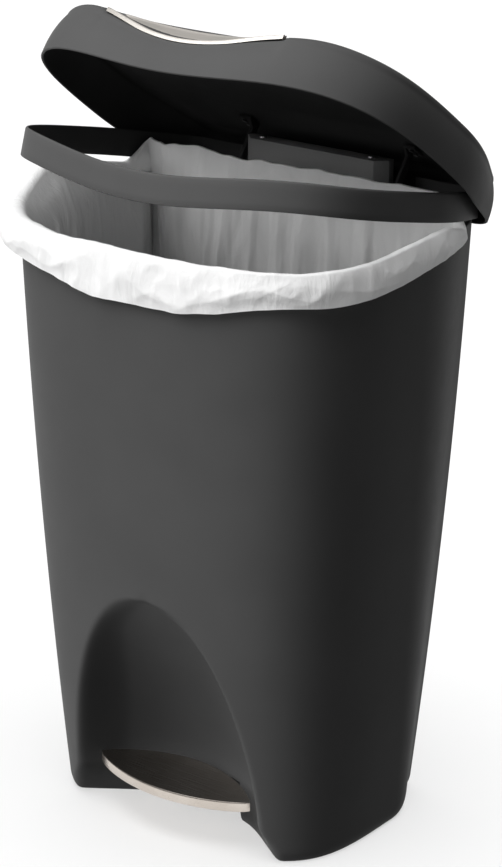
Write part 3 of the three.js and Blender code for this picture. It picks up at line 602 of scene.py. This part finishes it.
def lid_edge(angle, wall):
    x, y = RIM_OUTLINE.T
    base = offset_outline(RIM_OUTLINE, LID["offset"] - LID["inset"])
    inner = offset_outline(RIM_OUTLINE, LID["offset"] - LID["inset"] - 10.0)
    edge = lid_round(x, y)
    small = np.maximum(0.2, edge - wall)
    drawn = (edge - small * math.cos(angle)) / 10.0
    z = lid_top(x, y) - np.maximum(edge, wall + 0.2) + small * math.sin(angle)
    return np.column_stack([lerp(base, inner, drawn[:, None]), z])


def lid_top_loop(share, wall):
    edge = lid_edge(math.pi / 2.0, wall)
    middle_y = 10.0
    x = edge[:, 0] * share
    y = middle_y + (edge[:, 1] - middle_y) * share
    return np.column_stack([x, y, lid_top(x, y) - wall])


def lid_loops(wall):
    rows = [lid_side(share, wall) for share in np.linspace(0.0, 1.0, 16)]
    rows += [lid_edge(math.radians(angle), wall) for angle in range(10, 91, 10)]
    rows += [lid_top_loop(share, wall) for share in np.linspace(0.985, 0.02, 48)]
    return rows


def make_lid():
    outer = lid_loops(0.0)
    inner = lid_loops(LID["wall"])
    mouth = (outer[0] + inner[0]) / 2.0 - [0.0, 0.0, 0.8]
    rows = outer[::-1] + [mouth] + inner
    lid = lofted("lid", [opened(row, LID_REST) for row in rows], smooth_angle=50.0)
    paint(lid, "charcoal", "inner")
    count = len(RIM_OUTLINE)
    first_inner = (len(outer) + 1) * count
    for polygon in lid.data.polygons:
        if min(polygon.vertices) >= first_inner:
            polygon.material_index = 1
    lid.data.flip_normals()
    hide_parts("lid_shell")
    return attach(lid, "lid")


# ---------------------------------------------------------------- grip insert in the lid
def groove_share(from_front, depth):
    """1 in the middle of the groove behind the front lip, 0 away from it."""
    slim = min(1.0, depth / 14.0)
    return slim * np.exp(-((from_front - HANDLE["groove_at"]) / HANDLE["groove_reach"]) ** 2)


def insert_section(x):
    """One slice of the insert, over its top and back along its underside, and its groove share."""
    share = np.concatenate([[0.0, 0.01, 0.025], np.linspace(0.04, 0.96, 56), [0.975, 0.99, 1.0]])
    front = front_edge_y(x) - 0.2
    back = grip_back_y(x) - 0.4
    depth = back - front
    from_front = share * depth
    lips = np.exp(-((from_front - 1.2) / 1.3) ** 2) + np.exp(-((depth - from_front - 1.2) / 1.3) ** 2)
    groove = groove_share(from_front, depth)
    dish = HANDLE["dish"] * min(1.0, depth / 14.0) * np.sin(np.pi * share)
    up = 1.6 + HANDLE["lip"] * lips - dish - HANDLE["groove_depth"] * groove
    up[0] -= 0.7
    up[-1] -= 0.7
    y = lerp(front, back, share)
    across = np.full_like(y, x)
    seat = lid_top(across, y)
    top = np.column_stack([across, y, seat + HANDLE["thickness"] + up])
    underside = np.column_stack([across, y, seat + 0.4])
    return np.concatenate([top, underside[::-1]]), np.concatenate([groove, np.zeros_like(groove)])


def make_insert():
    half = HANDLE["half_width"] - 0.6
    middle = np.linspace(-half + 1.4, half - 1.4, 120)
    xs = np.concatenate([[-half, -half + 0.4], middle, [half - 0.4, half]])
    slices = [insert_section(x) for x in xs]
    insert = lofted("grip_insert", [opened(points, LID_REST) for points, _ in slices], smooth_angle=60.0)
    # The second slot is black plastic on the groove faces: a painted dark reflection in the hollow behind
    # the front lip.
    paint(insert, "bright_nickel", "black")
    groove = np.concatenate([shares for _, shares in slices])
    for polygon in insert.data.polygons:
        polygon.material_index = int(groove[list(polygon.vertices)].min() > 0.3)
    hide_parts("lid_handle_insert")
    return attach(insert, "lid")


# ---------------------------------------------------------------- pedal tread
def tread_outline(grow):
    """Plan of the tread: two arcs that meet in blunt rounded ends."""
    half = TREAD["half_width"] + grow
    t = np.linspace(-1.0, 1.0, 61)
    blunt = (1.0 - np.abs(t) ** 14) ** 0.5
    middle = TREAD["tip_y"] + 0.5
    front = lerp(TREAD["tip_y"] - 8.0, TREAD["front_y"] - grow, 1.0 - t ** 2)
    back = lerp(TREAD["tip_y"], TREAD["back_y"] + grow, 1.0 - t ** 2)
    front = lerp(middle - 4.0, front, blunt)
    back = lerp(middle - 4.0, back, blunt)
    near = np.column_stack([half * t, front])
    far = np.column_stack([half * t, back])[::-1][1:-1]
    return np.concatenate([near, far])


def make_tread():
    top = TREAD["top_z"]
    low = top - TREAD["thickness"]
    section = [(-TREAD["wall"], top - TREAD["wall"]), (-TREAD["wall"], low + 0.3), (-1.4, low),
               (-0.5, low + 0.2), (0.0, low + 0.8), (0.0, top - 1.7), (-0.2, top - 0.9),
               (-0.6, top - 0.4), (-1.2, top - 0.1), (-2.2, top), (-3.4, top - 0.1), (-4.4, top - 0.3)]
    rows = []
    for grow, z in section:
        outline = tread_outline(grow)
        rows.append(np.column_stack([outline, np.full(len(outline), z)]))
    tread = lofted("pedal_plate", rows, smooth_angle=50.0)
    paint(tread, "nickel")
    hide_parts("pedal_tread")
    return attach(tread, "pedal")


# ---------------------------------------------------------------- bag
def resampled(points, count):
    """A closed outline as evenly spaced points."""
    closed = np.vstack([points, points[:1]])
    steps = np.linalg.norm(np.diff(closed, axis=0), axis=1)
    along = np.concatenate([[0.0], np.cumsum(steps)])
    wanted = np.linspace(0.0, along[-1], count, endpoint=False)
    return np.column_stack([np.interp(wanted, along, closed[:, k]) for k in (0, 1)])


def wall_table():
    """Evenly spaced wall points and their outward normals at a ladder of heights."""
    heights = np.concatenate([np.linspace(70.0, 300.0, 32), np.linspace(320.0, RIM_Z, 12), [RIM_Z + 60.0]])
    points = np.array([resampled(body_outline(min(z, RIM_Z)), BAG["columns"]) for z in heights])
    along = np.roll(points, -3, axis=1) - np.roll(points, 3, axis=1)
    along /= np.linalg.norm(along, axis=2, keepdims=True)
    normals = np.stack([along[:, :, 1], -along[:, :, 0]], axis=2)
    return heights, points, normals


def wall_points(table, z, offset):
    """Points at their own height and their own distance outside the bin's wall."""
    heights, points, normals = table
    index = np.clip(np.searchsorted(heights, z) - 1, 0, len(heights) - 2)
    t = ((z - heights[index]) / (heights[index + 1] - heights[index]))[:, None]
    column = np.arange(BAG["columns"])
    place = lerp(points[index, column], points[index + 1, column], t)
    normal = lerp(normals[index, column], normals[index + 1, column], t)
    return np.column_stack([place + normal * offset[:, None], z])


def field(points, scale, seed, octaves=4, ridged=True):
    """Noise over points in millimetres, stretched up the wall so that folds run mostly upright."""
    values = np.empty(len(points))
    for i, (x, y, z) in enumerate(points):
        p = Vector((x * scale[0] + seed, y * scale[1], z * scale[2]))
        if ridged:
            values[i] = noise.ridged_multi_fractal(p, 0.9, 2.1, octaves, 1.0, 1.8) * 0.5
        else:
            values[i] = noise.fractal(p, 1.0, 2.0, octaves)
    return values


def bag_edge(x, y):
    """Height of the bag's folded crest, how far it hangs down outside, and how far out it stands."""
    flat = np.column_stack([x, y, np.full(len(x), RIM_Z)])
    slow = field(flat, (0.011, 0.011, 0.0), 3.0, 2, False)
    quick = field(flat, (0.034, 0.034, 0.0), 11.0, 2, False)
    left = smoothstep(60.0, 190.0, -x)
    right = smoothstep(60.0, 190.0, x)
    back = smoothstep(75.0 + 12.0 * right, 108.0 + 6.0 * right, y)
    puffed = left * (1.0 - back) * smoothstep(-130.0, 0.0, y)
    raised = right * (1.0 - back) * smoothstep(-110.0, 20.0, y)
    rise = BAG["left_rise"] * puffed + BAG["right_rise"] * raised
    ring_above = (HINGE["y"] - y) * math.tan(RING_REST) - BAG["under_ring"]
    rise = np.minimum(rise, np.maximum(0.0, ring_above - BAG["crest"]))
    crest = RIM_Z + BAG["crest"] + 2.6 * slow + 1.2 * quick + rise
    crest += back * (BAG["back_rise"] + 4.0 * slow + 1.5 * quick)
    front_drop = BAG["drop"] - BAG["side_lift"] * smoothstep(40.0, 170.0, np.abs(x))
    side = lerp(front_drop, BAG["back_drop"], smoothstep(-110.0, 95.0, y) * right)
    drop = (side + rise) * (1.0 + 0.10 * slow + 0.05 * quick)
    drop = lerp(drop, 12.0, smoothstep(88.0, 99.0, y))
    out = lerp(BAG["proud"] + 10.0 * left * (1.0 - back) + 2.0 * slow, -BAG["inset"], back)
    return crest, drop, out, back


def bag_rows():
    """Closed loops from the hem outside the bin, over the crest and down inside, with each loop's place."""
    rim = resampled(RIM_OUTLINE, BAG["columns"])
    crest, drop, out, back = bag_edge(rim[:, 0], rim[:, 1])
    top_out = 2.0 - (2.0 + BAG["inset"]) * back
    rows = []
    for t in np.linspace(0.0, 1.0, BAG["outside_rows"]):
        belly = (1.0 - t ** 3.2) ** 0.55 * (0.86 + 0.22 * math.sin(math.pi * min(1.0, t * 1.15)))
        rows.append((crest - drop * (1.0 - t) ** 1.15, lerp(top_out, out, belly), "out", t))
    for t in np.linspace(0.2, 1.0, BAG["fold_rows"]):
        angle = t * math.pi / 2.0
        offset = lerp(top_out, -BAG["inset"], math.sin(angle))
        rows.append((crest - BAG["crest_round"] * (1.0 - math.cos(angle)), offset, "in", 0.0))
    slack = 0.35 + 0.65 * smoothstep(20.0, 180.0, -rim[:, 0])
    for t in np.linspace(0.02, 1.0, BAG["inside_rows"]):
        steep = t / BAG["sag_depth"]
        inset = BAG["inset"] + BAG["sag"] * slack * (1.0 - back) * steep * math.exp(1.0 - steep)
        rows.append((lerp(crest - BAG["crest_round"], BAG["floor"], t), -inset, "in", t))
    return rows, back


def fold_push(points, part, t, back):
    """How far the film's folds stand out from (or in from) its smooth shape."""
    if part == "out":
        fold = field(points, (0.014, 0.014, 0.020), 21.0, 2)
        small = field(points, (0.045, 0.045, 0.03), 5.0, 2)
        strength = math.sin(math.pi * min(1.0, 0.18 + 0.82 * t))
        return strength * (8.0 * (fold - 0.55) + 1.8 * (small - 0.55)) * (1.0 - back)
    fold = field(points, (0.024, 0.024, 0.003), 31.0, 3)
    small = field(points, (0.07, 0.07, 0.010), 41.0, 3)
    depth = min(1.0, 0.15 + 4.0 * t)
    return -depth * np.maximum(0.0, 13.0 * (fold - 0.40) + 3.5 * (small - 0.4))


def bag_loops():
    table = wall_table()
    rows, back = bag_rows()
    placed = []
    for z, offset, part, t in rows:
        smooth = wall_points(table, z, np.asarray(offset, float))
        push = fold_push(smooth, part, t, back)
        points = wall_points(table, z, np.asarray(offset, float) + push)
        limit = BAG["back_y"] + (2.8 if part == "out" else 0.0)
        points[:, 1] = np.minimum(points[:, 1], limit + np.minimum(0.0, push))
        placed.append(points)
    return placed


def painted_inside_shade_share(rows):
    """How much painted shade each point gets: 0 outside and at the fold, 1 deep inside over the dark wall.
    """
    row = np.repeat(np.arange(len(rows), dtype=float), BAG["columns"])
    later = smoothstep(40.0, 190.0, -np.concatenate(rows)[:, 0])
    first_row = BAG["outside_rows"] + 4.0 + 6.0 * later
    fade_rows = 18.0 + 8.0 * later
    return smoothstep(0.0, 1.0, (row - first_row) / fade_rows)


def make_bag():
    rows = bag_loops()
    count = BAG["columns"]
    faces = loft_faces(len(rows), count)
    last = (len(rows) - 1) * count
    faces.append(tuple(range(last, last + count)))
    bag = new_object("bag", np.concatenate(rows), faces, 180.0)
    bag.data.flip_normals()
    paint(bag, "film")
    # The painted shade share, stored on the film's points.
    inside_shade_mask = bag.data.attributes.new("painted_inside_shade", "FLOAT", "POINT")
    inside_shade_mask.data.foreach_set("value", painted_inside_shade_share(rows))
    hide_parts("bin_liner")
    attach(bag, "can")
    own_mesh(bag)
    return bag


# ---------------------------------------------------------------- carried-over pieces
SOFTENED = {
    # The hinge housing gets the lighter charcoal copy: painted light.
    "hinge_housing": ("painted_shading_grey", 1.2),
    "rod_cover": ("black", 0.8),
    "pedal_arm": ("black", 1.0),
    "lid_arm_left": ("inner", 0.6),
    "lid_arm_right": ("inner", 0.6),
}
STEEL_WORDS = ("arm_screw", "housing_screw", "clip", "pin", "lift_", "shaft", "rod_lower", "rod_upper")


def soften(node, material, width):
    """A copy of a CAD node with its edges rounded over."""
    source = frame["nodes"][node]
    copy = bpy.data.objects.new("soft_" + node, source.data.copy())
    bpy.context.scene.collection.objects.link(copy)
    shape = bmesh.new()
    shape.from_mesh(copy.data)
    bmesh.ops.remove_doubles(shape, verts=shape.verts, dist=1e-6)
    bmesh.ops.dissolve_limit(shape, angle_limit=math.radians(2.0), verts=shape.verts, edges=shape.edges)
    shape.to_mesh(copy.data)
    shape.free()
    bevel = copy.modifiers.new("round", "BEVEL")
    bevel.width = width / 1000.0
    bevel.segments = 3
    bevel.limit_method = "ANGLE"
    bevel.angle_limit = math.radians(35.0)
    bevel.use_clamp_overlap = True
    apply_modifiers(copy)
    shade(copy, 35.0)
    paint(copy, material)
    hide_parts(node)
    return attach(copy, source["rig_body"])


def finish_cad_nodes():
    for name, node in frame["nodes"].items():
        if node.hide_render:
            continue
        steel = any(word in name for word in STEEL_WORDS)
        node.data.materials.clear()
        node.data.materials.append(MATERIALS["steel" if steel else "black"])


# ---------------------------------------------------------------- camera, light and floor
CAMERA = dict(azimuth=36.881, elevation=20.002, roll=0.298, distance=2708.4, across=16.2, height=391.3,
              lens=114.08)


def make_camera():
    azimuth, elevation, roll = (math.radians(CAMERA[key]) for key in ("azimuth", "elevation", "roll"))
    back = Vector((math.sin(azimuth) * math.cos(elevation), -math.cos(azimuth) * math.cos(elevation),
                   math.sin(elevation)))
    right = Vector((math.cos(azimuth), math.sin(azimuth), 0.0))
    up = back.cross(right)
    x_axis = right * math.cos(roll) + up * math.sin(roll)
    y_axis = up * math.cos(roll) - right * math.sin(roll)
    target = Vector((0.0, SHIFT_Y, CAMERA["height"])) + right * CAMERA["across"]
    place = (target + back * CAMERA["distance"]) / 1000.0
    data = bpy.data.cameras.new("camera")
    data.lens = CAMERA["lens"]
    data.sensor_width = 36.0
    data.clip_end = 150.0
    camera = bpy.data.objects.new("camera", data)
    camera.matrix_world = Matrix.Translation(place) @ Matrix((x_axis, y_axis, back)).transposed().to_4x4()
    bpy.context.scene.collection.objects.link(camera)
    bpy.context.scene.camera = camera
    return camera


def sun(name, azimuth, elevation, strength, softness):
    """A soft distant light. Azimuth is measured from the front towards +X, in degrees."""
    data = bpy.data.lights.new(name, "SUN")
    data.energy = strength
    data.angle = math.radians(softness)
    light = bpy.data.objects.new(name, data)
    turn, rise = math.radians(azimuth), math.radians(elevation)
    towards = Vector((math.sin(turn) * math.cos(rise), -math.cos(turn) * math.cos(rise), math.sin(rise)))
    facing = towards.to_track_quat("Z", "Y").to_matrix().to_4x4()
    light.matrix_world = Matrix.Translation(towards * 3.0) @ facing
    bpy.context.scene.collection.objects.link(light)
    return light


def light_only(light, lit, stops):
    """The light falls on the first objects alone, and only the second ones stand in its way."""
    linking = light.light_linking
    linking.receiver_collection = bpy.data.collections.new("lit by " + light.name)
    linking.blocker_collection = bpy.data.collections.new("in the way of " + light.name)
    for obj in lit:
        linking.receiver_collection.objects.link(obj)
    for obj in stops:
        linking.blocker_collection.objects.link(obj)


def paint_shadow_under_bin(tree, coords, paint_colour, target):
    """Paints shadow into the floor colour under the bin, where no studio light gets in."""
    squeeze = tree.nodes.new("ShaderNodeMapping")
    squeeze.inputs["Scale"].default_value = (SHADOW_UNDER_BIN["x_scale"], 1.0, 1.0)
    tree.links.new(coords, squeeze.inputs["Vector"])
    away = tree.nodes.new("ShaderNodeVectorMath")
    away.operation = "DISTANCE"
    away.inputs[1].default_value = (0.0, SHADOW_UNDER_BIN["y"] / 1000.0, 0.0)
    tree.links.new(squeeze.outputs["Vector"], away.inputs[0])
    fade = tree.nodes.new("ShaderNodeMapRange")
    fade.inputs["From Min"].default_value = SHADOW_UNDER_BIN["dark_radius"] / 1000.0
    fade.inputs["From Max"].default_value = SHADOW_UNDER_BIN["radius"] / 1000.0
    tree.links.new(away.outputs["Value"], fade.inputs["Value"])
    mix = tree.nodes.new("ShaderNodeMix")
    mix.data_type = "RGBA"
    mix.inputs["A"].default_value = (0.02, 0.02, 0.02, 1.0)
    tree.links.new(fade.outputs["Result"], mix.inputs["Factor"])
    tree.links.new(paint_colour, mix.inputs["B"])
    tree.links.new(mix.outputs["Result"], target)


def make_floor():
    mesh = bpy.data.meshes.new("floor")
    reach = 60.0
    corners = [(-reach, -reach, 0.0), (reach, -reach, 0.0), (reach, reach, 0.0), (-reach, reach, 0.0)]
    mesh.from_pydata(corners, [], [(0, 1, 2, 3)])
    floor = bpy.data.objects.new("floor", mesh)
    bpy.context.scene.collection.objects.link(floor)
    material, tree, shader = node_material("floor paint")
    coords = tree.nodes.new("ShaderNodeTexCoord").outputs["Object"]
    patch = noise_node(tree, coords, 2.0)
    colour = ramp_node(tree, patch.outputs["Fac"], [(0.3, (0.90, 0.90, 0.90)), (0.7, (0.92, 0.92, 0.92))])
    # The painted shadow under the bin goes into the floor colour.
    paint_shadow_under_bin(tree, coords, colour.outputs["Color"], shader.inputs["Base Color"])
    shader.inputs["Roughness"].default_value = 0.9
    shader.inputs["Specular IOR Level"].default_value = 0.1
    mesh.materials.append(material)
    floor.visible_diffuse = False
    return floor


def make_world():
    world = bpy.data.worlds.new("studio")
    world.use_nodes = True
    world.node_tree.nodes["Background"].inputs["Color"].default_value = (1.0, 1.0, 1.0, 1.0)
    world.node_tree.nodes["Background"].inputs["Strength"].default_value = 0.15
    bpy.context.scene.world = world


def make_lights(floor):
    """Soft suns, each one on its own group of pieces, so that no part of the picture burns out."""
    pieces = [obj for obj in bpy.context.scene.objects if obj.type == "MESH" and obj is not floor]
    film = [obj for obj in pieces if obj.name == "bag"]
    all_but_film = [obj for obj in pieces if obj.name != "bag"]
    duller = [obj for obj in pieces if obj.name != "pedal_plate"]
    plastic = [obj for obj in duller if obj.name != "bag"]
    light_only(sun("paper", 0.0, 90.0, 1.9, 10.0), [floor], [floor])
    light_only(sun("contact", 0.0, 88.0, 1.4, 60.0), [floor], pieces)
    light_only(sun("overhead", 0.0, 86.0, 1.1, 60.0), all_but_film, pieces)
    light_only(sun("key", -38.0, 38.0, 3.9, 36.0), duller, pieces)
    light_only(sun("top", -35.0, 70.0, 3.4, 40.0), plastic, pieces)
    light_only(sun("bag top", 18.0, 64.0, 1.8, 60.0), film, pieces)
    light_only(sun("bounce", -30.0, -25.0, 1.3, 90.0), duller, pieces)


def make_stage():
    floor = make_floor()
    make_world()
    make_lights(floor)
    bpy.context.scene.view_settings.view_transform = "Standard"
    bpy.context.scene.view_settings.look = "None"


make_body()
make_ring()
make_lid()
make_insert()
make_tread()
make_bag()
for node_name, (finish_name, edge_width) in SOFTENED.items():
    soften(node_name, finish_name, edge_width)
finish_cad_nodes()
make_stage()
make_camera()
